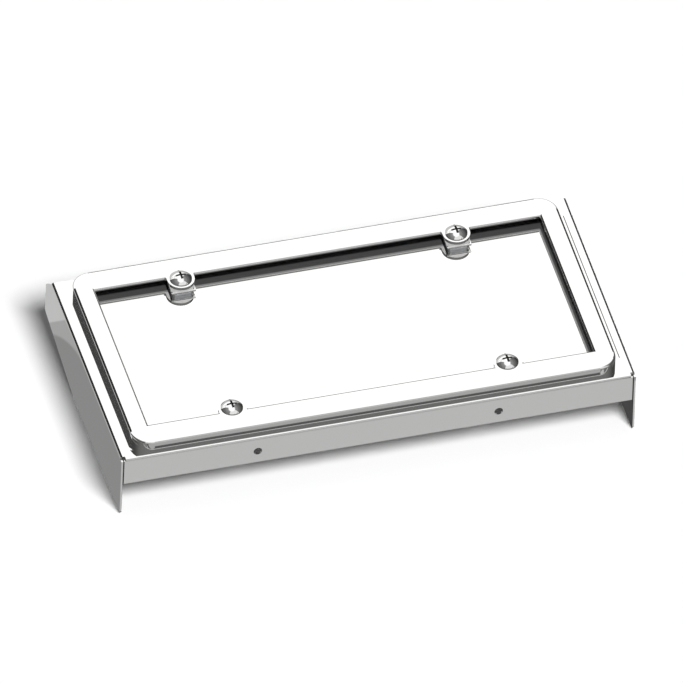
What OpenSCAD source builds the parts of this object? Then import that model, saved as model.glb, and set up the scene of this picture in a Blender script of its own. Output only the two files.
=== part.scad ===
// Number plate holder: a folded sheet bracket with a raised panel, a hollow cover frame
// with four screw ears, four cross-slotted screws, the nuts on the panel that they turn
// into, and a flat leaf that lies between each rear nut and its ear.
// X runs along the width, Y to the rear and Z up. The origin is the centre of the
// bounding box at the level of the cheeks' lower edges. Sizes are in millimetres.

/* [Number plate] */
// Width of the number plate that the holder takes
plate_w = 304.8; // [290:0.1:325]
// Depth of the number plate
plate_d = 152.4; // [146:0.1:170]
// Play between the number plate's front and rear edges and the frame's walls
plate_gap = 2.6; // [1:0.1:4]
// Play between the number plate's left and right edges and the frame's walls
side_gap = 3.1; // [1:0.1:4]
// Distance between the screws along the width
hole_dx = 177.8; // [150:0.1:200]
// Distance from the number plate's front and rear edges to the screws
hole_inset = 15.875; // [14.9:0.025:17]

/* [Cover frame] */
// Thickness of the frame's sheet
frame_t = 1; // [0.8:0.1:1.3]
// Height of the frame from its foot to its top face
frame_h = 7.6; // [6.8:0.1:9]
// Radius of the frame's outer corners in plan
frame_corner_r = 12.7; // [8:0.1:20]
// Inside radius where the top face rolls over into the wall
frame_roll_r = 0.5; // [0.3:0.1:1]
// Width of the left and right rails
side_rail = 12.8; // [9:0.1:16]
// Width of the front and rear rails
long_rail = 16.6; // [15:0.1:19]
// Height of the lip turned down round the opening
lip_h = 2.1; // [1.7:0.1:2.4]
// Inside radius where the top face rolls over into the lip
lip_roll_r = 0.2; // [0.1:0.05:0.4]
// Radius of the round screw ears
ear_r = 8.7; // [7.6:0.1:10]
// Fillet where an ear leaves its rail
ear_root_r = 1; // [0.6:0.1:2]
// Radius of the screw hole in an ear
ear_hole_r = 3.4; // [3.2:0.1:4]

/* [Bracket] */
// Thickness of the bracket's sheet
sheet_t = 1.2; // [1:0.1:1.6]
// Inside radius of the bracket's folds
fold_r = 0.3; // [0.2:0.1:0.9]
// Distance from the frame's wall to the outer face of a cheek
side_margin = 9.5; // [8.5:0.1:16]
// Distance from the frame's wall to the plate's rear edge
rear_margin = 3.2; // [3:0.1:8]
// Height of the raised panel above the rest of the plate
panel_h = 0.2; // [0.15:0.05:0.35]
// Width of the raised panel's edge slope
panel_slope = 1.4; // [1.3:0.1:2]
// Distance that the raised panel reaches past the frame at each side
panel_side = 2.8; // [2:0.1:4]
// Distance that the raised panel reaches past the frame at the front and the rear
panel_overhang = 0.2; // [0.2:0.1:0.7]
// Flat land between the front fold and the raised panel's edge slope
panel_land = 0.1; // [0.1:0.1:0.5]
// Radius of the raised panel's corners
panel_corner_r = 13; // [8:0.1:18]
// Height of the front flange, from the plate's top face
flange_h = 20.5; // [18:0.1:30]
// Gap between the end of the flange and a cheek
flange_gap = 0.7; // [0.4:0.1:1.2]
// Side of the square notch at each front corner, where two folds would meet
notch = 3; // [2.6:0.1:4]

/* [Cheeks] */
// Height of a cheek, from the plate's top face to its lower edge
cheek_h = 45.8; // [40:0.1:70]
// Length of a cheek's level lower edge
cheek_level = 109; // [100:1:140]
// Depth of a cheek's rear corner below the plate's top face
cheek_rear_h = 33; // [26:0.5:38]
// Distance that a cheek reaches behind the plate
cheek_tail = 11.5; // [6:0.5:20]
// Drop of the slanted edge on a cheek's tail
cheek_slant = 9.5; // [8:0.5:18]
// Radius of a cheek's free corners
cheek_corner_r = 2.5; // [1:0.1:5]

/* [Flange holes] */
// Distance between the two holes in the front flange
flange_hole_dx = 155.4; // [120:0.2:200]
// Radius of the holes in the front flange
flange_hole_r = 2.75; // [2:0.05:4]
// Drop of the holes below the plate's top face
flange_hole_drop = 11.4; // [9:0.1:14]

/* [Screws] */
// Radius of a screw's head
head_r = 7; // [6:0.1:7.4]
// Height of a screw's head
head_h = 3.4; // [2.4:0.1:4.2]
// Height of the straight rim under the head's dome
head_rim = 0.5; // [0.3:0.1:0.8]
// Radius of a screw's shank
shank_r = 2.9; // [2.5:0.05:3]
// Length of a screw under its head
shank_l = 16; // [14:0.5:25]
// Length of the cross recess from tip to tip
cross_l = 6.4; // [5:0.1:8]
// Width of the cross recess
cross_w = 1.1; // [0.8:0.1:1.6]
// Depth of the cross recess
cross_d = 1.7; // [1:0.1:2]
// Radial play between a screw and the thread it runs in
thread_play = 0.1; // [0.05:0.01:0.15]

/* [Nuts and leaves] */
// Side of a square nut
nut_w = 12.4; // [11:0.1:13]
// Height of the rear nuts above the panel
nut_h = 2.6; // [2:0.1:2.8]
// Chamfer on a nut's upright corners
nut_chamfer = 0.8; // [0.4:0.1:1.5]
// Radius of the nut's neck in the bracket's hole
neck_r = 4.3; // [4:0.1:5]
// Radial clearance round a nut's neck
neck_play = 0.05; // [0.03:0.01:0.1]
// Thickness of a leaf
leaf_t = 1.3; // [0.8:0.1:1.4]
// Width of a leaf
leaf_w = 15.5; // [14:0.5:18]
// Distance from the screw's axis to a leaf's front edge
leaf_front = 8.3; // [7.5:0.1:12]
// Distance from the screw's axis to a leaf's rear edge
leaf_back = 8; // [6:0.1:12]
// Radius of the round over a leaf's front edge
leaf_round_r = 0.7; // [0.4:0.1:0.8]
// Wall of the collar that spaces a leaf from its ear
collar_wall = 1.4; // [1:0.1:2]

/* [Hidden] */
$fn = 96;

chrome_colour = [0.86, 0.87, 0.88];
screw_colour = [0.72, 0.73, 0.75];
nut_colour = [0.62, 0.63, 0.64];

// Overall sizes that follow from the number plate
fold_out = sheet_t + fold_r;
front_margin = fold_out + panel_land + panel_slope + panel_overhang;
frame_w = plate_w + 2 * (side_gap + frame_t);
frame_d = plate_d + 2 * (plate_gap + frame_t);
bracket_w = frame_w + 2 * side_margin;
bracket_d = frame_d + front_margin + rear_margin;
hole_dy = plate_d - 2 * hole_inset;
opening_w = frame_w - 2 * side_rail;
opening_d = frame_d - 2 * long_rail;

// Levels and stations in the part's frame
cheek_l = bracket_d + cheek_tail;
front_y = -cheek_l / 2;
frame_y = front_y + front_margin + frame_d / 2;
plate_z = cheek_h;
panel_z = plate_z + panel_h;
top_z = panel_z + frame_h;
roll_out = frame_t + frame_roll_r;
lip_out = frame_t + lip_roll_r;

// Raised panel of the plate, in plan
panel_w = frame_w + 2 * panel_side;
panel_d = frame_d + 2 * panel_overhang;
foot_w = panel_w + 2 * panel_slope;
foot_d = panel_d + 2 * panel_slope;

// The panel's edge is two bends in the sheet, one up and one down, with no flat between
edge_r = ((panel_slope * panel_slope + panel_h * panel_h) / (2 * panel_h) - sheet_t) / 2;
edge_angle = asin(panel_slope / (2 * edge_r + sheet_t));

edge_steps = 5;

// Nuts, leaves and collars fill the height between the panel and the ears
ear_z = frame_h - lip_h;
collar_r = ear_hole_r + collar_wall;
thread_r = shank_r + thread_play;
overlap = 1;

// Points along an arc, where first is 1 to leave out the point at its start
function arc_points(centre, r, from, to, first) =
    [for (i = [first:edge_steps])
        let (angle = from + (to - from) * i / edge_steps)
        centre + r * [cos(angle), sin(angle)]];

// The two ends of the round at a corner of an outline, and the centre of that round
function unit(v) = v / norm(v);
function half_angle(a, corner, b) = acos(unit(a - corner) * unit(b - corner)) / 2;
function round_ends(a, corner, b, r) =
    let (reach = r / tan(half_angle(a, corner, b)))
    [corner + unit(a - corner) * reach, corner + unit(b - corner) * reach];
function round_centre(a, corner, b, r) =
    corner + unit(unit(a - corner) + unit(b - corner)) * r / sin(half_angle(a, corner, b));

module rounded_rect(w, d, r) {
    square([w - 2 * r, d], center = true);
    square([w, d - 2 * r], center = true);
    for (x = [-1, 1], y = [-1, 1])
        translate([x * (w / 2 - r), y * (d / 2 - r)])
            circle(r);
}

// Quarter of a bent sheet, outer radius r, with its centre at the origin
module quarter_bend(r, t) {
    intersection() {
        difference() {
            circle(r);
            circle(r - t);
        }
        square(r);
    }
}

// Runs a section along one straight side of a rounded rectangle
module run_side(turn, reach, length) {
    rotate([0, 0, turn])
        translate([reach, 0, 0])
            rotate([90, 0, 0])
                linear_extrude(length, center = true)
                    children();
}

// Turns a section round one corner of a rounded rectangle
module run_corner(turn, x, y, r) {
    translate([x, y, 0])
        rotate([0, 0, turn])
            rotate_extrude(angle = 90)
                translate([r, 0])
                    children();
}

// Runs a section round a rounded rectangle, with x outwards and y up
module run_round(w, d, r) {
    for (turn = [0, 180])
        run_side(turn, w / 2, d - 2 * r)
            children();
    for (turn = [90, 270])
        run_side(turn, d / 2, w - 2 * r)
            children();
    run_corner(0, w / 2 - r, d / 2 - r, r)
        children();
    run_corner(90, r - w / 2, d / 2 - r, r)
        children();
    run_corner(180, r - w / 2, r - d / 2, r)
        children();
    run_corner(270, w / 2 - r, r - d / 2, r)
        children();
}

// Section of the frame's wall and its rolled top edge
module wall_section() {
    translate([-frame_t, 0])
        square([frame_t, frame_h - roll_out]);
    translate([-roll_out, frame_h - roll_out])
        quarter_bend(roll_out, frame_t);
    translate([-roll_out - overlap, frame_h - frame_t])
        square([overlap, frame_t]);
}

// Section of the lip round the opening, with x from the opening into the rail
module lip_section() {
    translate([0, frame_h - lip_h])
        square([frame_t, lip_h - lip_out]);
    translate([lip_out, frame_h - lip_out])
        mirror([1, 0])
            quarter_bend(lip_out, frame_t);
    translate([lip_out, frame_h - frame_t])
        square([overlap, frame_t]);
}

// Plan of one ear, drawn for a screw at the origin and a rail on the +Y side
module ear_plan() {
    edge = opening_d / 2 - hole_dy / 2;
    circle(ear_r);
    translate([-ear_r, 0])
        square([2 * ear_r, edge + lip_out]);
    for (side = [-1, 1])
        translate([side * (ear_r + ear_root_r / 2), edge - ear_root_r / 2])
            difference() {
                square(ear_root_r, center = true);
                translate([side * ear_root_r / 2, -ear_root_r / 2])
                    circle(ear_root_r);
            }
}

// Puts its child at the four ears, turned so that the rail is on the child's +Y side
module at_ears() {
    for (turn = [0, 180], x = [-1, 1])
        rotate([0, 0, turn])
            translate([x * hole_dx / 2, hole_dy / 2, 0])
                children();
}

// Flat top of the frame, from the roll over the wall to the roll over the lip
module top_face() {
    translate([0, 0, frame_h - frame_t])
        linear_extrude(frame_t)
            difference() {
                rounded_rect(frame_w - 2 * roll_out, frame_d - 2 * roll_out, frame_corner_r - roll_out);
                square([opening_w + 2 * lip_out, opening_d + 2 * lip_out], center = true);
            }
}

module lips() {
    for (turn = [0, 180]) {
        rotate([0, 0, turn])
            translate([opening_w / 2, 0, 0])
                rotate([90, 0, 0])
                    linear_extrude(opening_d + 2 * lip_out, center = true)
                        lip_section();
        rotate([0, 0, turn + 90])
            translate([opening_d / 2, 0, 0])
                rotate([90, 0, 0])
                    linear_extrude(opening_w + 2 * lip_out, center = true)
                        lip_section();
    }
}

module cover_frame() {
    color(chrome_colour)
        translate([0, frame_y, panel_z])
            difference() {
                union() {
                    run_round(frame_w, frame_d, frame_corner_r)
                        wall_section();
                    top_face();
                    lips();
                    at_ears()
                        translate([0, 0, ear_z])
                            linear_extrude(lip_h)
                                ear_plan();
                }
                at_ears()
                    translate([0, 0, ear_z - overlap])
                        cylinder(r = ear_hole_r, h = lip_h + 2 * overlap);
            }
}

// Section of the raised panel's edge, from the panel's rim outwards to the land
module slope_section() {
    upper = [0, panel_h - edge_r - sheet_t];
    lower = [panel_slope, edge_r];
    outside = panel_slope + panel_land;
    polygon(concat(
        [[-panel_land, panel_h]],
        arc_points(upper, edge_r + sheet_t, 90, 90 - edge_angle, 0),
        arc_points(lower, edge_r, 270 - edge_angle, 270, 1),
        [[outside, 0], [outside, -sheet_t]],
        arc_points(lower, edge_r + sheet_t, 270, 270 - edge_angle, 0),
        arc_points(upper, edge_r, 90 - edge_angle, 90, 1),
        [[-panel_land, panel_h - sheet_t]]
    ));
}

module side_folds() {
    for (turn = [0, 1])
        mirror([turn, 0, 0])
            translate([bracket_w / 2 - fold_out, front_y + bracket_d, plate_z - fold_out])
                rotate([90, 0, 0])
                    linear_extrude(bracket_d - notch)
                        quarter_bend(fold_out, sheet_t);
}

module front_fold() {
    translate([0, front_y + fold_out, plate_z - fold_out])
        rotate([90, 0, 90])
            linear_extrude(bracket_w - 2 * notch, center = true)
                mirror([1, 0])
                    quarter_bend(fold_out, sheet_t);
}

// Outline of a cheek, with x from its front edge to the rear and y up from the plate
module cheek_outline() {
    start = [0, -fold_out];
    foot = [0, -cheek_h];
    knee = [cheek_level, -cheek_h];
    heel = [cheek_l, -cheek_rear_h];
    tail = [cheek_l, -cheek_slant - fold_out];
    neck = [bracket_d, -fold_out];
    r = cheek_corner_r;
    polygon(concat(
        [start],
        round_ends(start, foot, knee, r),
        [knee],
        round_ends(knee, heel, tail, r),
        round_ends(heel, tail, neck, r),
        [neck]
    ));
    translate(round_centre(start, foot, knee, r))
        circle(r);
    translate(round_centre(knee, heel, tail, r))
        circle(r);
    translate(round_centre(heel, tail, neck, r))
        circle(r);
}

module cheeks() {
    for (x = [-bracket_w / 2, bracket_w / 2 - sheet_t])
        translate([x, front_y, plate_z])
            rotate([90, 0, 90])
                linear_extrude(sheet_t)
                    cheek_outline();
}

module front_flange() {
    half = bracket_w / 2 - sheet_t - flange_gap;
    difference() {
        translate([-half, front_y, plate_z - flange_h])
            cube([2 * half, sheet_t, flange_h - fold_out]);
        for (x = [-1, 1])
            translate([x * flange_hole_dx / 2, front_y - overlap, plate_z - flange_hole_drop])
                rotate([-90, 0, 0])
                    cylinder(r = flange_hole_r, h = sheet_t + 2 * overlap);
    }
}

// Flat plate round the raised panel, with the notches in its front corners
module plate_border() {
    translate([0, 0, plate_z - sheet_t])
        linear_extrude(sheet_t)
            difference() {
                translate([fold_out - bracket_w / 2, front_y + fold_out])
                    square([bracket_w - 2 * fold_out, bracket_d - fold_out]);
                translate([0, frame_y])
                    rounded_rect(foot_w, foot_d, panel_corner_r + panel_slope);
                for (x = [-1, 1])
                    translate([x * bracket_w / 2, front_y])
                        square(2 * notch, center = true);
            }
}

// Raised panel with a hole for the neck of each nut
module panel() {
    translate([0, frame_y, panel_z - sheet_t])
        linear_extrude(sheet_t)
            difference() {
                rounded_rect(panel_w, panel_d, panel_corner_r);
                for (x = [-1, 1], y = [-1, 1])
                    translate([x * hole_dx / 2, y * hole_dy / 2])
                        circle(neck_r + neck_play);
            }
    translate([0, frame_y, plate_z])
        run_round(panel_w, panel_d, panel_corner_r)
            slope_section();
}

module bracket() {
    color(chrome_colour) {
        plate_border();
        panel();
        side_folds();
        cheeks();
        front_fold();
        front_flange();
    }
}

// Half section of a screw's head, with its seat at the origin
module head_section() {
    dome_h = head_h - head_rim;
    dome_r = (head_r * head_r + dome_h * dome_h) / (2 * dome_h);
    intersection() {
        translate([0, head_h - dome_r])
            circle(dome_r);
        square([head_r, head_h]);
    }
}

// Cross-slotted screw with its head standing on the frame's top face
module screw_at(x, y) {
    tip = shank_r / 3;
    color(screw_colour)
        translate([x * hole_dx / 2, frame_y + y * hole_dy / 2, top_z])
            difference() {
                union() {
                    rotate_extrude()
                        head_section();
                    rotate_extrude()
                        polygon([
                            [0, head_rim],
                            [shank_r, head_rim],
                            [shank_r, tip - shank_l],
                            [shank_r - tip, -shank_l],
                            [0, -shank_l]
                        ]);
                }
                for (turn = [0, 90])
                    rotate([0, 0, turn])
                        translate([-cross_l / 2, -cross_w / 2, head_h - cross_d])
                            cube([cross_l, cross_w, cross_d + overlap]);
            }
}

// Square nut on the panel, with a neck that fills the bracket's hole
module nut_at(x, y, h) {
    side = nut_w / 2;
    flat = side - nut_chamfer;
    color(nut_colour)
        translate([x * hole_dx / 2, frame_y + y * hole_dy / 2, panel_z])
            difference() {
                union() {
                    linear_extrude(h)
                        polygon([
                            [flat, side], [-flat, side], [-side, flat], [-side, -flat],
                            [-flat, -side], [flat, -side], [side, -flat], [side, flat]
                        ]);
                    translate([0, 0, -sheet_t])
                        cylinder(r = neck_r, h = sheet_t + h / 2);
                }
                translate([0, 0, -sheet_t - overlap])
                    cylinder(r = thread_r, h = h + sheet_t + 2 * overlap);
            }
}

// Section of a leaf, with x from its front edge to the rear
module leaf_section() {
    translate([leaf_round_r - leaf_front, 0])
        square([leaf_front + leaf_back - leaf_round_r, leaf_t]);
    translate([-leaf_front, 0])
        square([2 * leaf_round_r, leaf_t - leaf_round_r]);
    translate([leaf_round_r - leaf_front, leaf_t - leaf_round_r])
        circle(leaf_round_r);
}

// Flat leaf on a rear nut, with a collar that carries the ear
module leaf_at(x) {
    color(chrome_colour)
        translate([x * hole_dx / 2, frame_y + hole_dy / 2, panel_z + nut_h])
            difference() {
                union() {
                    rotate([90, 0, 90])
                        linear_extrude(leaf_w, center = true)
                            leaf_section();
                    cylinder(r = collar_r, h = ear_z - nut_h);
                }
                translate([0, 0, -overlap])
                    cylinder(r = ear_hole_r, h = ear_z + 2 * overlap);
            }
}

bracket();
cover_frame();
screw_at(-1, 1);  // screw_rear_left
screw_at(1, 1);  // screw_rear_right
screw_at(-1, -1);  // screw_front_left
screw_at(1, -1);  // screw_front_right
nut_at(-1, 1, nut_h);  // nut_rear_left
nut_at(1, 1, nut_h);  // nut_rear_right
nut_at(-1, -1, ear_z);  // nut_front_left
nut_at(1, -1, ear_z);  // nut_front_right
leaf_at(-1);  // leaf_left
leaf_at(1);  // leaf_right
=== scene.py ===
"""Chromed number plate holder: finishes, stage, lamp and camera round the fixed frame."""

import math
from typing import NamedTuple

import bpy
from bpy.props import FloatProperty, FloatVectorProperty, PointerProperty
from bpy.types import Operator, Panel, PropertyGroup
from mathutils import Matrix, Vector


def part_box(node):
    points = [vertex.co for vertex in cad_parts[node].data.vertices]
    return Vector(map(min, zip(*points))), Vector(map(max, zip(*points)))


bl_info = {
    "name": "Number Plate Holder",
    "version": (1, 0, 0),
    "blender": (4, 5, 0),
    "location": "View3D > Sidebar > Plate Holder",
    "description": "Finishes and stages a chromed number plate holder",
    "category": "Object",
}

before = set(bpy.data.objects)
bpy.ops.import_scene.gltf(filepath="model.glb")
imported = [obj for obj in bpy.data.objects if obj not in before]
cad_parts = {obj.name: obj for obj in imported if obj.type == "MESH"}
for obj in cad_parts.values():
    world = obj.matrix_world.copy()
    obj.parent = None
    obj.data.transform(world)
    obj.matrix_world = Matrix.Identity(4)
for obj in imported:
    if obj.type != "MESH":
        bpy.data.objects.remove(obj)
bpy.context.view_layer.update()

PIXELS = 683
PIXELS_PER_METRE = 1607
MILLIMETRE = 0.001

SCREWS = ("screw_rear_left", "screw_rear_right", "screw_front_left", "screw_front_right")
NUTS = ("nut_rear_left", "nut_rear_right", "nut_front_left", "nut_front_right")
LEAVES = ("leaf_left", "leaf_right")

FRAME_CORNER = 0.0127
FRAME_HALF_SHEET = 0.0005
SIDE_RAIL = 0.0128
LONG_RAIL = 0.0166
REAR_MARGIN = 0.0032
THREAD_PITCH = 0.001

UP = (0.0, 0.0, 1.0)


class Term:
    """A socket that takes part in Python expressions, each of which adds its Math nodes."""

    def __init__(self, shader, socket):
        self.shader = shader
        self.socket = socket

    def math(self, operation, *others):
        values = (self, *others)
        return self.shader.node("ShaderNodeMath", {"operation": operation}, dict(enumerate(values)))

    def __add__(self, other):
        return self.math("ADD", other)

    def __sub__(self, other):
        return self.math("SUBTRACT", other)

    def __mul__(self, other):
        return self.math("MULTIPLY", other)

    def __rsub__(self, other):
        return self.shader.node("ShaderNodeMath", {"operation": "SUBTRACT"}, {0: other, 1: self})

    def __truediv__(self, other):
        return self.math("DIVIDE", other)

    __radd__ = __add__
    __rmul__ = __mul__

    def size(self):
        return self.math("ABSOLUTE")

    def larger(self, other):
        return self.math("MAXIMUM", other)

    def smaller(self, other):
        return self.math("MINIMUM", other)

    def step(self, low, high):
        """0 below low, 1 above high and smooth between."""
        return self.shader.node(
            "ShaderNodeMapRange",
            {"interpolation_type": "SMOOTHSTEP"},
            {"Value": self, "From Min": low, "From Max": high},
        )

    def band(self, low, high, soft):
        """1 from low to high, with soft edges outside them."""
        return self.step(low - soft, low) * (1 - self.step(high, high + soft))


class Shader:
    """The node tree of a material or a world."""

    def __init__(self, owner):
        owner.use_nodes = True
        self.tree = owner.node_tree
        self.tree.nodes.clear()

    def node(self, kind, settings=None, sockets=None, output=0):
        """Adds a node, sets its settings and sockets, and returns one of its outputs."""
        made = self.tree.nodes.new(kind)
        for name, value in (settings or {}).items():
            setattr(made, name, value)
        for name, value in (sockets or {}).items():
            if isinstance(value, Term):
                self.tree.links.new(value.socket, made.inputs[name])
            else:
                made.inputs[name].default_value = value
        return Term(self, made.outputs[output]) if len(made.outputs) else made

    def coordinates(self, output):
        return self.node("ShaderNodeTexCoord", output=output)

    def ray(self, output):
        return self.node("ShaderNodeLightPath", output=output)

    def axes(self, vector):
        """The x, y and z terms of a vector term."""
        first = self.node("ShaderNodeSeparateXYZ", sockets={"Vector": vector})
        outputs = first.socket.node.outputs
        return [Term(self, outputs[name]) for name in ("X", "Y", "Z")]

    def lean(self, factor, second):
        """The surface's normal, leaning towards the second direction by the factor."""
        normal = self.node("ShaderNodeNewGeometry", output="Normal")
        between = self.node(
            "ShaderNodeMix",
            {"data_type": "VECTOR"},
            {0: factor, 4: normal, 5: second},
            output=1,
        )
        return self.node("ShaderNodeVectorMath", {"operation": "NORMALIZE"}, {0: between})

    def mix(self, factor, first, second):
        """A colour between first and second."""
        return self.node(
            "ShaderNodeMix",
            {"data_type": "RGBA"},
            {0: factor, 6: first, 7: second},
            output=2,
        )

    def noise(self, scale, detail, vector):
        sockets = {"Scale": scale, "Detail": detail, "Vector": vector}
        return self.node("ShaderNodeTexNoise", sockets=sockets)

    def surface(self, shader):
        self.node("ShaderNodeOutputMaterial", sockets={"Surface": shader})


class DullAndPaintedLight(NamedTuple):
    """Where metal is matt and carries painted light: its colour there, its painted emission, and
    where it is only worn.
    """

    mask: Term
    colour: object
    painted_glow: Term = None
    worn: Term = None


def grey(level):
    """An opaque grey of that linear level."""
    return (level, level, level, 1.0)


def shade(colour, factor):
    """The colour, opaque and darker or lighter by the factor."""
    return (*[part * factor for part in colour], 1.0)


def lay(base, level, mask):
    """The base with the level laid over it where the mask is 1."""
    return base + mask * (level - base)


class HolderCamera(PropertyGroup):
    azimuth: FloatProperty(
        name="Azimuth",
        description="Turn of the camera round the holder, from straight in front to its left",
        default=math.radians(16.8),
        subtype="ANGLE",
    )
    elevation: FloatProperty(
        name="Elevation",
        description="Height of the camera above the horizon, as an angle",
        default=math.radians(43.1),
        subtype="ANGLE",
    )
    roll: FloatProperty(
        name="Roll",
        description="Turn of the picture about the line of sight",
        default=0.039,
        subtype="ANGLE",
    )
    width: FloatProperty(
        name="Width",
        description="Width that the picture takes in",
        default=PIXELS / PIXELS_PER_METRE,
        unit="LENGTH",
    )
    distance: FloatProperty(
        name="Distance",
        description="Distance from the camera to the holder",
        default=2.0,
        unit="LENGTH",
    )
    centre_px: FloatVectorProperty(
        name="Centre",
        description="Pixel at which the middle of the bracket's top shows, from the top left",
        default=(343.7, 328.9),
        size=2,
    )


class HolderStudio(PropertyGroup):
    softbox: FloatProperty(
        name="Softbox",
        description="Brightness of the softbox behind and over the holder, seen in the chrome",
        default=1.2,
        min=0,
    )
    front_card: FloatProperty(
        name="Front card",
        description="Brightness of the reflector card in front of the holder",
        default=0.85,
        min=0,
    )
    walls: FloatProperty(
        name="Walls",
        description="Brightness of the studio's walls near the horizon",
        default=0.035,
        min=0,
    )
    side_flag: FloatProperty(
        name="Side flags",
        description="Brightness of the dark flags that the left and right folds show",
        default=0.02,
        min=0,
    )
    front_flag: FloatProperty(
        name="Front flag",
        description="Brightness of the flag that the walls and lips facing the front show",
        default=0.17,
        min=0,
    )
    ring_flag: FloatProperty(
        name="Ring flag",
        description="Brightness of the flag all round that the other upright walls show",
        default=0.06,
        min=0,
    )
    rear_flag: FloatProperty(
        name="Rear flag",
        description="Brightness of the flag that the rolls along the rear show",
        default=0.10,
        min=0,
    )
    floor_tone: FloatProperty(
        name="Floor tone",
        description="Grey of the open floor where the chrome shows it",
        default=0.517,
        min=0,
        max=1,
    )
    key_power: FloatProperty(
        name="Key power",
        description="Strength of the large far lamp that casts the holder's shadow",
        default=3.95,
        min=0,
    )
    key_spread: FloatProperty(
        name="Key spread",
        description="Width of the far lamp as seen from the holder, which softens the shadow",
        default=0.38,
        subtype="ANGLE",
    )
    key_place: FloatVectorProperty(
        name="Key place",
        description="Where the far lamp stands, as seen from the holder",
        default=(0.44, -1.7, 2.2),
        subtype="XYZ",
        unit="LENGTH",
        size=3,
    )
    ambient: FloatProperty(
        name="Ambient",
        description="Even light from the studio on the floor and on dull surfaces",
        default=0.15,
        min=0,
    )


class HolderFinish(PropertyGroup):
    chrome: FloatVectorProperty(
        name="Chrome",
        description="Colour of the chrome",
        default=(0.91, 0.91, 0.90),
        subtype="COLOR",
        size=3,
        min=0,
        max=1,
    )
    zinc: FloatVectorProperty(
        name="Zinc",
        description="Colour of the nuts' zinc plating",
        default=(0.70, 0.72, 0.75),
        subtype="COLOR",
        size=3,
        min=0,
        max=1,
    )
    polish: FloatProperty(
        name="Polish",
        description="Roughness of the polished chrome",
        default=0.025,
        min=0,
        max=1,
    )


def sight_axes(camera):
    """The unit vectors from the holder to the camera, to the picture's right and to its top."""
    level = math.cos(camera.elevation)
    back = Vector(
        (
            -math.sin(camera.azimuth) * level,
            -math.cos(camera.azimuth) * level,
            math.sin(camera.elevation),
        )
    )
    side = Vector(UP).cross(back).normalized()
    rise = back.cross(side)
    right = side * math.cos(camera.roll) + rise * math.sin(camera.roll)
    top = rise * math.cos(camera.roll) - side * math.sin(camera.roll)
    return back, right, top


def plate_centre():
    """The middle of the bracket's flat top, under the middle of the cover frame."""
    low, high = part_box("cover_frame")
    return Vector(((low.x + high.x) / 2, (low.y + high.y) / 2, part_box("bracket")[1].z))


def give(name, material):
    """Puts a material on every face of a CAD node."""
    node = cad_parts[name]
    node.data.materials.clear()
    node.data.materials.append(material)


def chrome_material(name, colour, polish, relief=None, flatten=None, dull_and_painted_light=None):
    """Polished chrome: a mirror with faint clouding in its polish.

    relief, flatten and dull_and_painted_light take the shader and give what varies over the piece:
    the height of a fine relief in millimetres, how far a pressed slope is levelled, and a
    DullAndPaintedLight, whose colour and emission paint shade and light onto matt patches.
    """
    material = bpy.data.materials.new(name)
    shader = Shader(material)
    cloud = shader.noise(60.0, 3.0, shader.coordinates("Object"))
    tone = shader.mix(cloud, shade(colour, 0.985), shade(colour, 1.0))
    roughness = polish + cloud * polish * 0.4
    sockets = {"Base Color": tone, "Metallic": 1.0, "Roughness": roughness}
    if dull_and_painted_light is not None:
        patch = dull_and_painted_light(shader)
        if patch.worn is not None:
            roughness = lay(roughness, 0.4, patch.worn)
        # Painted light: an emission wherever the patch gives one.
        if patch.painted_glow is not None:
            sockets["Emission Color"] = patch.mask * patch.painted_glow
            sockets["Emission Strength"] = 1.0
        # The patch's colour, near black where it paints shade, replaces the chrome's.
        sockets["Base Color"] = shader.mix(patch.mask, tone, patch.colour)
        sockets["Metallic"] = 1 - patch.mask
        sockets["Roughness"] = lay(roughness, 0.5, patch.mask)
    if relief is not None:
        bump = {"Strength": 1.0, "Distance": MILLIMETRE, "Height": relief(shader)}
        if flatten is not None:
            bump["Normal"] = shader.lean(flatten(shader), UP)
        sockets["Normal"] = shader.node("ShaderNodeBump", sockets=bump)
    shader.surface(shader.node("ShaderNodeBsdfPrincipled", sockets=sockets))
    return material


def zinc_material(name, colour):
    """Bright zinc plating with a fine grain."""
    material = bpy.data.materials.new(name)
    shader = Shader(material)
    place = shader.coordinates("Object")
    grain = shader.noise(900.0, 4.0, place)
    cloud = shader.noise(120.0, 2.0, place)
    bump = {"Strength": 0.1, "Distance": 0.2 * MILLIMETRE, "Height": grain}
    shader.surface(
        shader.node(
            "ShaderNodeBsdfPrincipled",
            sockets={
                "Base Color": shader.mix(cloud, shade(colour, 0.85), shade(colour, 1.1)),
                "Metallic": 0.6,
                "Roughness": 0.14 + grain * 0.08,
                "Normal": shader.node("ShaderNodeBump", sockets=bump),
            },
        )
    )
    return material


def sheet_ripple(shader):
    """The slight unevenness of a polished sheet."""
    return shader.noise(9.0, 1.0, shader.coordinates("Object")) * 0.02


def panel_slope(shader):
    """Where the panel's pressed slope looks nearly level, as the polish has softened its edges.

    It shows a little along the straight right side, and not at all in front.
    """
    x, y, z = shader.axes(shader.coordinates("Object"))
    low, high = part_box("bracket")
    frame_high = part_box("cover_frame")[1]
    slope_side = high.x - 0.0048
    slope_front = low.y + 0.0015
    slope_rear = frame_high.y + REAR_MARGIN - 0.00075
    corner_front = slope_front + 0.01625
    corner_rear = slope_rear - 0.0145
    within = 1 - x.size().step(slope_side, slope_side + 0.0003)
    within = within * y.band(slope_front, slope_rear, 0.0001)
    right = x.step(frame_high.x - 0.0065, frame_high.x - 0.0055)
    right = right * y.band(corner_front, corner_rear, 0.0005)
    front = 1 - y.step(slope_front + 0.00425, slope_front + 0.00725)
    softened = lay(lay(0.88, 0.57, right), 1.0, front)
    upward = shader.axes(shader.coordinates("Normal"))[2].step(0.85, 0.95)
    return z.step(high.z - 0.0005, high.z - 0.0003) * upward * within * softened


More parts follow.
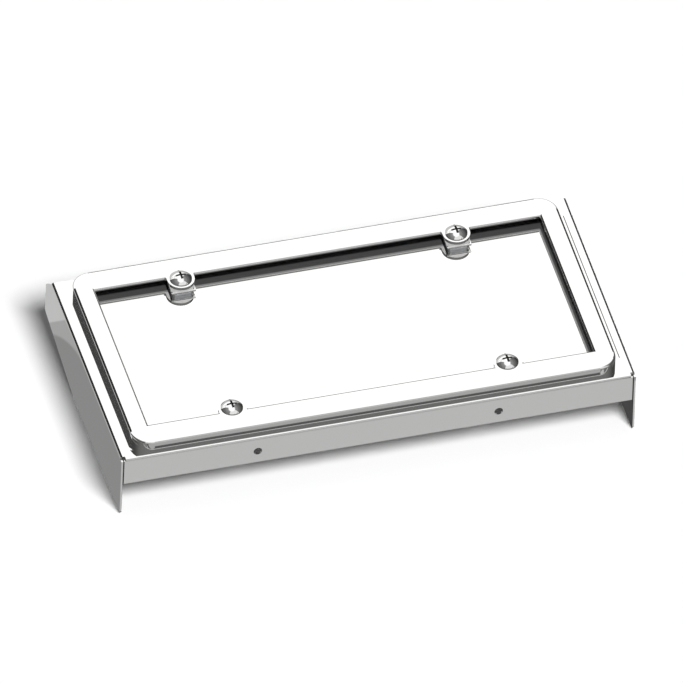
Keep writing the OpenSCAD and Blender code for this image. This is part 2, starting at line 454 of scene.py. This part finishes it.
def flange_gap_painted_shade(shader):
    """The cut ends of the front flange beside the cheeks, painted near black as the shade in the
    gap there.
    """
    x, y, z = shader.axes(shader.coordinates("Object"))
    low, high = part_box("bracket")
    cut_end = x.size().band(high.x - 0.0020, high.x - 0.0011, 0.00003)
    flange = 1 - y.step(low.y + 0.00125, low.y + 0.00135)
    below_fold = 1 - z.step(high.z - 0.0020, high.z - 0.0015)
    # Painted shade: grey(0.03) darkens the gap between flange and cheek in colour.
    return DullAndPaintedLight(cut_end * flange * below_fold, grey(0.03))


def rail_inside_painted_light(shader):
    """The hollow inside of the cover frame's rails and ears, where the metal is matt.

    Its colour carries a painted emission that stands in for the light that the polished sheet
    throws in: inside the rails it is brightest just behind the lips and fades deeper in, and under
    the ears it is even, over a near black colour. The left lip is slightly worn.
    """
    x, y, z = shader.axes(shader.coordinates("Object"))
    low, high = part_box("cover_frame")
    centre = (low + high) / 2
    from_side = x.size() - high.x
    from_end = (y - centre.y).size() - (high.y - centre.y)

    across = from_side + FRAME_CORNER
    along = from_end + FRAME_CORNER
    right = across.larger(0.0)
    ahead = along.larger(0.0)
    reach = (right * right + ahead * ahead).math("SQRT")
    depth = FRAME_CORNER - reach - across.larger(along).smaller(0.0)
    under_top = high.z - FRAME_HALF_SHEET
    hollow = depth.step(FRAME_HALF_SHEET - 0.0001, FRAME_HALF_SHEET + 0.0001)
    hollow = hollow * (1 - z.step(under_top - 0.0001, under_top + 0.0001))

    behind_side_lip = from_side + SIDE_RAIL
    behind_long_lip = from_end + LONG_RAIL
    behind = (behind_side_lip * 3.0).larger(behind_long_lip)
    rail = behind.step(0.0005, 0.0007)
    downward = 1 - shader.axes(shader.coordinates("Normal"))[2].step(-0.6, -0.4)
    ear = (1 - rail) * downward
    # Painted light: the emission laid below is strongest near the lips, weaker mid rail, none
    # deeper in, and even under the ears.
    near_lip = 1 - behind.step(0.0026, 0.0036)
    mid_rail = 1 - behind.step(0.0076, 0.0088)
    painted_glow = lay(0.30, 0.19 * near_lip + 0.055 * mid_rail, rail)

    side_lip = behind_side_lip.band(-0.0008, 0.0007, 0.0002)
    left = 1 - x.step(-0.01, 0.0)
    between_long_lips = 1 - behind_long_lip.step(-0.0002, 0.0)
    # Rails get a light grey colour and ear undersides a near black one, each with its painted
    # emission.
    return DullAndPaintedLight(
        hollow * (rail + ear),
        shader.mix(rail, grey(0.8), grey(0.06)),
        painted_glow,
        side_lip * left * between_long_lips,
    )


def screw_offsets(shader):
    """The way from the axis of the nearest screw, along x and y, and the height."""
    x, y, z = shader.axes(shader.coordinates("Object"))
    low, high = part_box("screw_front_left")
    centre = (low + high) / 2
    middle = plate_centre().y
    shifted = y - middle
    dx = x - x.math("SIGN") * abs(centre.x)
    dy = shifted - shifted.math("SIGN") * abs(centre.y - middle)
    return dx, dy, z


def cross_recess_painted_shade(shader):
    """The cross recess in a screw's head, painted black as the shade inside it; the painted shade
    is a little wider than the cut recess, so a thin rim round it is blackened too.
    """
    dx, dy, z = screw_offsets(shader)
    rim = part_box("cover_frame")[1].z + 0.0001
    half_width = 0.0007
    half_length = 0.0032

    def slot(across, along):
        narrow = 1 - across.size().step(half_width - 0.00002, half_width + 0.00002)
        return narrow * (1 - along.size().step(half_length, half_length + 0.0001))

    # Painted shade: grey(0.02) blackens the recess and its rim.
    return DullAndPaintedLight(slot(dx, dy).larger(slot(dy, dx)) * z.step(rim, rim + 0.0001), grey(0.02))


def thread(shader):
    """A right-hand machine thread from the point up to the head."""
    dx, dy, z = screw_offsets(shader)
    ridge_height = 0.18
    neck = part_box("screw_front_left")[1].z - 0.0055
    turn = z / THREAD_PITCH - dy.math("ARCTAN2", dx) / math.tau
    ridge = (turn * math.tau).math("SINE")
    return ridge * ridge_height * (1 - z.step(neck, neck + 0.0001))


class HOLDER_OT_camera(Operator):
    """Add the camera at the photograph's viewing angle"""

    bl_idname = "holder.camera"
    bl_label = "Add camera"

    def execute(self, context):
        settings = context.scene.holder_camera
        back, right, top = sight_axes(settings)
        metres_per_px = settings.width / PIXELS
        across = (settings.centre_px[0] - PIXELS / 2) * metres_per_px
        up = (PIXELS / 2 - settings.centre_px[1]) * metres_per_px
        aim = plate_centre() - right * across - top * up
        data = bpy.data.cameras.new("holder_camera")
        data.type = "ORTHO"
        data.ortho_scale = settings.width
        camera = bpy.data.objects.new("holder_camera", data)
        place = Matrix.Translation(aim + back * settings.distance)
        camera.matrix_world = place @ Matrix((right, top, back)).transposed().to_4x4()
        context.scene.collection.objects.link(camera)
        context.scene.camera = camera
        return {"FINISHED"}


class HOLDER_OT_bracket(Operator):
    """Chrome the folded bracket"""

    bl_idname = "holder.bracket"
    bl_label = "Finish bracket"

    def execute(self, context):
        finish = context.scene.holder_finish
        chrome = chrome_material(
            "bracket_chrome",
            finish.chrome,
            finish.polish,
            relief=sheet_ripple,
            flatten=panel_slope,
            dull_and_painted_light=flange_gap_painted_shade,
        )
        give("bracket", chrome)
        return {"FINISHED"}


class HOLDER_OT_cover_frame(Operator):
    """Chrome the cover frame"""

    bl_idname = "holder.cover_frame"
    bl_label = "Finish cover frame"

    def execute(self, context):
        finish = context.scene.holder_finish
        chrome = chrome_material(
            "frame_chrome",
            finish.chrome,
            finish.polish,
            relief=sheet_ripple,
            dull_and_painted_light=rail_inside_painted_light,
        )
        give("cover_frame", chrome)
        return {"FINISHED"}


class HOLDER_OT_screws(Operator):
    """Chrome the four screws"""

    bl_idname = "holder.screws"
    bl_label = "Finish screws"

    def execute(self, context):
        finish = context.scene.holder_finish
        chrome = chrome_material(
            "screw_chrome",
            finish.chrome,
            finish.polish * 2,
            relief=thread,
            dull_and_painted_light=cross_recess_painted_shade,
        )
        for name in SCREWS:
            give(name, chrome)
        return {"FINISHED"}


class HOLDER_OT_nuts(Operator):
    """Plate the four square nuts and chrome the two leaves"""

    bl_idname = "holder.nuts"
    bl_label = "Finish nuts and leaves"

    def execute(self, context):
        finish = context.scene.holder_finish
        zinc = zinc_material("nut_zinc", finish.zinc)
        chrome = chrome_material("leaf_chrome", finish.chrome, finish.polish * 2)
        for name in NUTS:
            give(name, zinc)
        for name in LEAVES:
            give(name, chrome)
        return {"FINISHED"}


def flag(part, middle):
    """1 on a narrow flag, round the middle of one part of a direction."""
    half_width = 0.009
    return part.band(middle - half_width, middle + half_width, 0.004)


def studio_world(studio, sight):
    """The studio as the chrome shows it, with a white backdrop for the camera.

    The direction that a side fold shows keeps the y of the sight, one that a roll along the
    front or rear shows keeps its x, and one that an upright wall shows over a level face keeps
    its height. So a narrow flag on each of these ways darkens that form alone.
    """
    world = bpy.data.worlds.new("studio")
    shader = Shader(world)
    x, y, z = shader.axes(shader.coordinates("Generated"))
    above = z.step(-0.10, 0.0)
    from_rear = x.math("ARCTAN2", y)
    from_front = x.math("ARCTAN2", y * -1.0)

    wall_rise = 0.31
    softbox_fall = (0.5 + 0.5 * z.step(0.25, 0.42)) * (1 - 0.3 * from_rear.step(0.44, 0.66))
    softbox_span = from_rear.band(-0.82, 0.68, 0.06)
    card_fall = 0.65 + 0.35 * z.step(0.3, 0.7)
    card_span = from_front.band(-0.60, 1.02, 0.10)
    overhead = z.step(0.90, 0.97)
    shown = studio.walls + z * z * wall_rise
    shown = lay(shown, studio.softbox * softbox_fall, softbox_span * above)
    shown = lay(shown, studio.front_card * card_fall, card_span * above)
    shown = lay(shown, studio.softbox, overhead)

    side_folds = flag(y, sight.y) * above
    left_flag = studio.side_flag + 0.045 * x.band(-0.24, -0.18, 0.02)
    shown = lay(shown, left_flag, side_folds * (1 - x.step(0.10, 0.13)))
    shown = lay(shown, studio.side_flag, side_folds * x.step(0.29, 0.32))

    window = y.step(0.55, 0.60) * x.band(-0.16, 0.29, 0.02)
    ring = lay(studio.ring_flag, studio.front_flag, 1 - y.step(-0.5, 0.3))
    shown = lay(shown, ring, flag(z, -sight.z) * (1 - window))

    rolls = flag(x, sight.x)
    front_rolls = rolls * z.band(0.60, 0.76, 0.03) * (1 - y.step(-0.6, -0.5))
    shown = lay(shown, studio.front_flag, front_rolls)
    shown = lay(shown, studio.rear_flag, rolls * y.step(0.722, 0.732))

    seen = shader.ray("Is Camera Ray")
    glossy = shader.ray("Is Glossy Ray")
    level = lay(lay(studio.ambient, shown, glossy), 1.0, seen)
    background = shader.node("ShaderNodeBackground", sockets={"Color": level})
    shader.node("ShaderNodeOutputWorld", sockets={"Surface": background})
    return world


def floor_tone(shader, open_floor):
    """The floor's tone in the chrome, with the holder's shade painted on it as patches of given
    greys: a little lighter behind the holder, darker beside its left cheek and darkest near its
    foot, dark to its right, to its front left, in front of it and under it, with a near black line
    a little in front.
    """
    x, y = shader.axes(shader.coordinates("Object"))[:2]
    low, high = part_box("bracket")
    leftward = low.x - x
    beside = y.band(low.y, high.y, 0.002)
    front_line = low.y - 0.04785
    core_width = leftward / 0.014
    core_depth = (y - (high.y - 0.04325)).larger(0.0) / 0.0333
    painted_shadow_core = 1 - (core_width * core_width + core_depth * core_depth).step(0.9, 1.15)

    rear = y.step(high.y - 0.001, high.y + 0.001)
    left = beside * leftward.band(0.0, 0.05, 0.02)
    right = x.step(high.x + 0.011, high.x + 0.014)
    left_front = leftward.step(0.004, 0.006) * (1 - y.step(low.y - 0.00825, low.y - 0.00625))
    front = 1 - y.step(front_line + 0.0002, front_line + 0.0006)

    # Painted shade: each mask below lays its grey over the open floor's tone.
    tone = open_floor
    for mask, level in (
        (rear, 0.54),
        (left, 0.385),
        (left * painted_shadow_core, 0.265),
        (right, 0.16),
        (left_front, 0.2),
        (front * x.band(low.x, high.x, 0.001), 0.405),
        (y.band(front_line, front_line + 0.0023, 0.0004), 0.09),
        (beside * x.band(low.x + 0.001, high.x - 0.001, 0.001), 0.065),
    ):
        tone = lay(tone, level, mask)
    return tone


def floor_material(studio):
    """White floor that takes the holder's real shadow from the lamp; the chrome shows instead a
    grey floor with painted shade.
    """
    material = bpy.data.materials.new("floor_white")
    shader = Shader(material)
    tone = floor_tone(shader, studio.floor_tone)
    diffuse = shader.node("ShaderNodeBsdfDiffuse", sockets={"Color": grey(0.9)})
    shown = shader.node("ShaderNodeEmission", sockets={"Color": tone})
    glossy = shader.ray("Is Glossy Ray")
    shader.surface(shader.node("ShaderNodeMixShader", sockets={0: glossy, 1: diffuse, 2: shown}))
    return material


def far_lamp(studio):
    """A large lamp so far away that the whole floor is lit alike."""
    data = bpy.data.lights.new("key", "SUN")
    data.energy = studio.key_power
    data.angle = studio.key_spread
    lamp = bpy.data.objects.new("key", data)
    lamp.location = studio.key_place
    lamp.rotation_euler = (-Vector(studio.key_place)).to_track_quat("-Z", "Y").to_euler()
    lamp.visible_glossy = False
    return lamp


class HOLDER_OT_stage(Operator):
    """Add the floor, the studio round it and the lamp"""

    bl_idname = "holder.stage"
    bl_label = "Add stage"

    def execute(self, context):
        studio = context.scene.holder_studio
        mesh = bpy.data.meshes.new("floor")
        reach = 6.0
        corners = [(-reach, -reach, 0), (reach, -reach, 0), (reach, reach, 0), (-reach, reach, 0)]
        mesh.from_pydata(corners, [], [(0, 1, 2, 3)])
        floor = bpy.data.objects.new("floor", mesh)
        mesh.materials.append(floor_material(studio))
        context.scene.collection.objects.link(floor)
        sight = -sight_axes(context.scene.holder_camera)[0]
        context.scene.world = studio_world(studio, sight)
        context.scene.collection.objects.link(far_lamp(studio))
        context.scene.view_settings.view_transform = "Standard"
        return {"FINISHED"}


class HOLDER_PT_panel(Panel):
    """The steps that finish and stage the holder"""

    bl_idname = "HOLDER_PT_panel"
    bl_label = "Plate Holder"
    bl_space_type = "VIEW_3D"
    bl_region_type = "UI"
    bl_category = "Plate Holder"

    def draw(self, context):
        column = self.layout.column()
        for step in STEPS:
            column.operator(step.bl_idname)


STEPS = (
    HOLDER_OT_camera,
    HOLDER_OT_bracket,
    HOLDER_OT_cover_frame,
    HOLDER_OT_screws,
    HOLDER_OT_nuts,
    HOLDER_OT_stage,
)
CLASSES = (HolderCamera, HolderStudio, HolderFinish, *STEPS, HOLDER_PT_panel)


def register():
    for cls in CLASSES:
        bpy.utils.register_class(cls)
    bpy.types.Scene.holder_camera = PointerProperty(type=HolderCamera)
    bpy.types.Scene.holder_studio = PointerProperty(type=HolderStudio)
    bpy.types.Scene.holder_finish = PointerProperty(type=HolderFinish)


def unregister():
    del bpy.types.Scene.holder_finish
    del bpy.types.Scene.holder_studio
    del bpy.types.Scene.holder_camera
    for cls in reversed(CLASSES):
        bpy.utils.unregister_class(cls)


def main():
    register()
    for step in STEPS:
        group, name = step.bl_idname.split(".")
        getattr(getattr(bpy.ops, group), name)()


if __name__ == "__main__":
    main()
